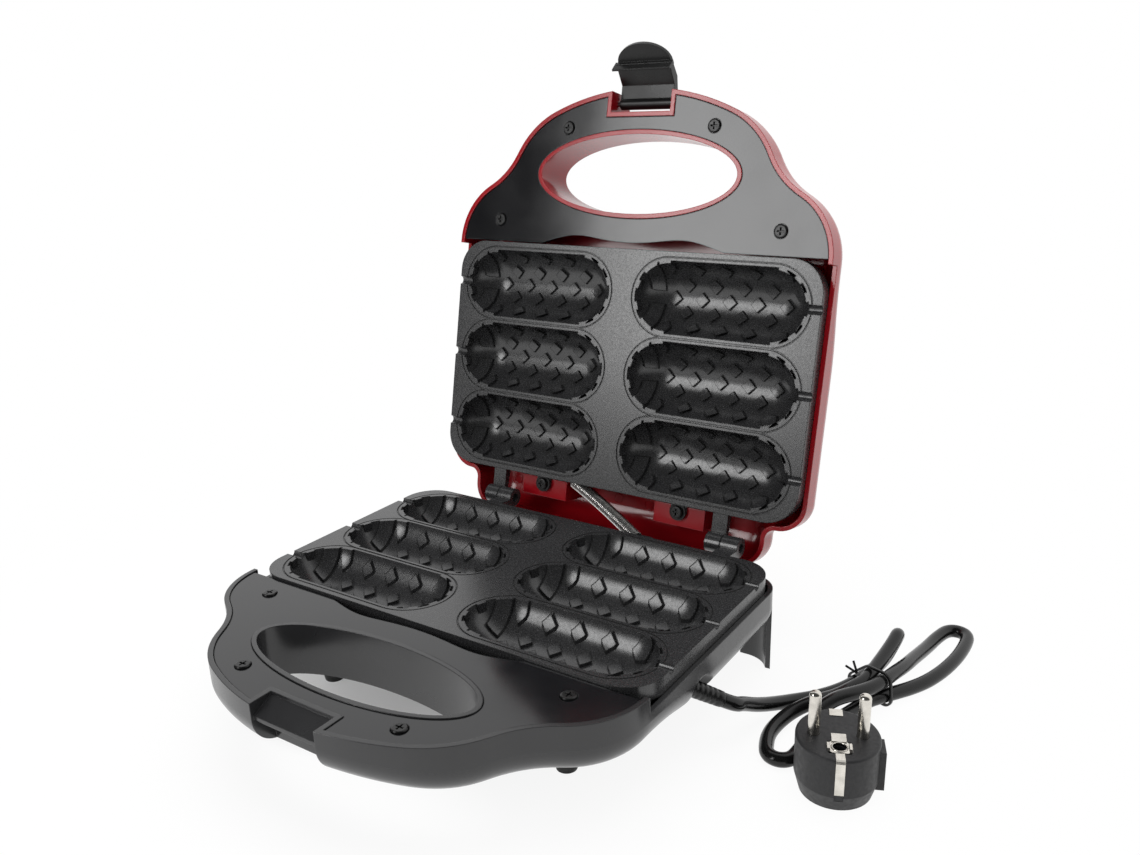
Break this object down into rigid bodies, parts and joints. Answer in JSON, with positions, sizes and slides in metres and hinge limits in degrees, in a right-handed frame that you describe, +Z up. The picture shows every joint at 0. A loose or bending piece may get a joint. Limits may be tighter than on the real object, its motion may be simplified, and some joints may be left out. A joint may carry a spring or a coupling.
{
  "type": "hot dog waffle maker",
  "caption": "Hinged countertop waffle maker for hot dogs, open: red lid, black base, cast moulded plates, loop handles with a latch, and a tied mains cord with its plug.",
  "frame": {"origin": "centre of the maker's footprint box, cord and plug left out, on the surface it stands on", "axes": "+Z up, -Y towards the handles and latch, +X to the right of someone facing the handles' side from the front"},
  "size_m": [0.3027, 0.2964, 0.2929],
  "materials": {
    "black_shell": "gloss",
    "red_shell": "gloss",
    "black_panel": "gloss",
    "non_stick_plate": "satin non-stick coating, finely speckled",
    "element_steel": "satin",
    "ceramic": "matte",
    "sheet_metal": "satin",
    "black_screw": "satin black",
    "zinc_screw": "satin",
    "black_collar": "matte",
    "nylon": "matte",
    "foot_rubber": "matte",
    "pin_steel": "satin",
    "spring_steel": "bright",
    "lead_sleeve": "matte",
    "red_lens": "gloss",
    "green_lens": "gloss",
    "lamp_glass": "gloss",
    "cord_rubber": "satin",
    "tie_plastic": "satin",
    "plug_plastic": "matte",
    "nickel": "bright"
  },
  "bodies": {
    "base": {"base_shell": "black_shell", "base_handle_panel": "black_panel", "base_panel_screws": "black_screw", "lower_grill_plate": "non_stick_plate", "lower_heating_element": "element_steel", "lower_element_beads": "ceramic", "lower_element_pins": "element_steel", "lower_reflector": "sheet_metal", "lower_plate_screws": "zinc_screw", "thermostat": "sheet_metal", "terminal_block": "nylon", "terminal_screws": "zinc_screw", "front_feet": "foot_rubber", "hinge_pins": "pin_steel", "spring_conduit": "spring_steel", "conduit_leads": "lead_sleeve", "cord_strain_relief": "cord_rubber", "mains_cord": "cord_rubber", "cord_tie": "tie_plastic", "plug_body": "plug_plastic", "plug_pins": "nickel", "plug_earth_contacts": "nickel"},
    "lid": {"lid_shell": "red_shell", "lid_handle_panel": "black_panel", "lid_panel_screws": "black_screw", "upper_grill_plate": "non_stick_plate", "upper_heating_element": "element_steel", "upper_element_beads": "ceramic", "upper_element_pins": "element_steel", "upper_reflector": "sheet_metal", "upper_plate_screws": "zinc_screw", "lid_rear_collars": "black_collar", "lid_rear_screws": "black_screw", "thermal_fuse": "element_steel", "thermal_fuse_clip": "element_steel", "power_lamp_lens": "red_lens", "ready_lamp_lens": "green_lens", "neon_bulbs": "lamp_glass", "lamp_bracket": "element_steel", "latch_pin": "pin_steel"},
    "latch": {"latch": "black_panel"}
  },
  "joints": [
    {"name": "lid_hinge", "type": "hinge", "parent": "base", "child": "lid", "pos_m": [0, 0.07742, 0.05], "axis": [1, 0, 0], "range_deg": [0, 102.4], "deforming": ["spring_conduit", "conduit_leads"]},
    {"name": "latch_pivot", "type": "hinge", "parent": "lid", "child": "latch", "pos_m": [0, 0.13547, 0.2628], "axis": [1, 0, 0], "range_deg": [-25, 49]}
  ]
}
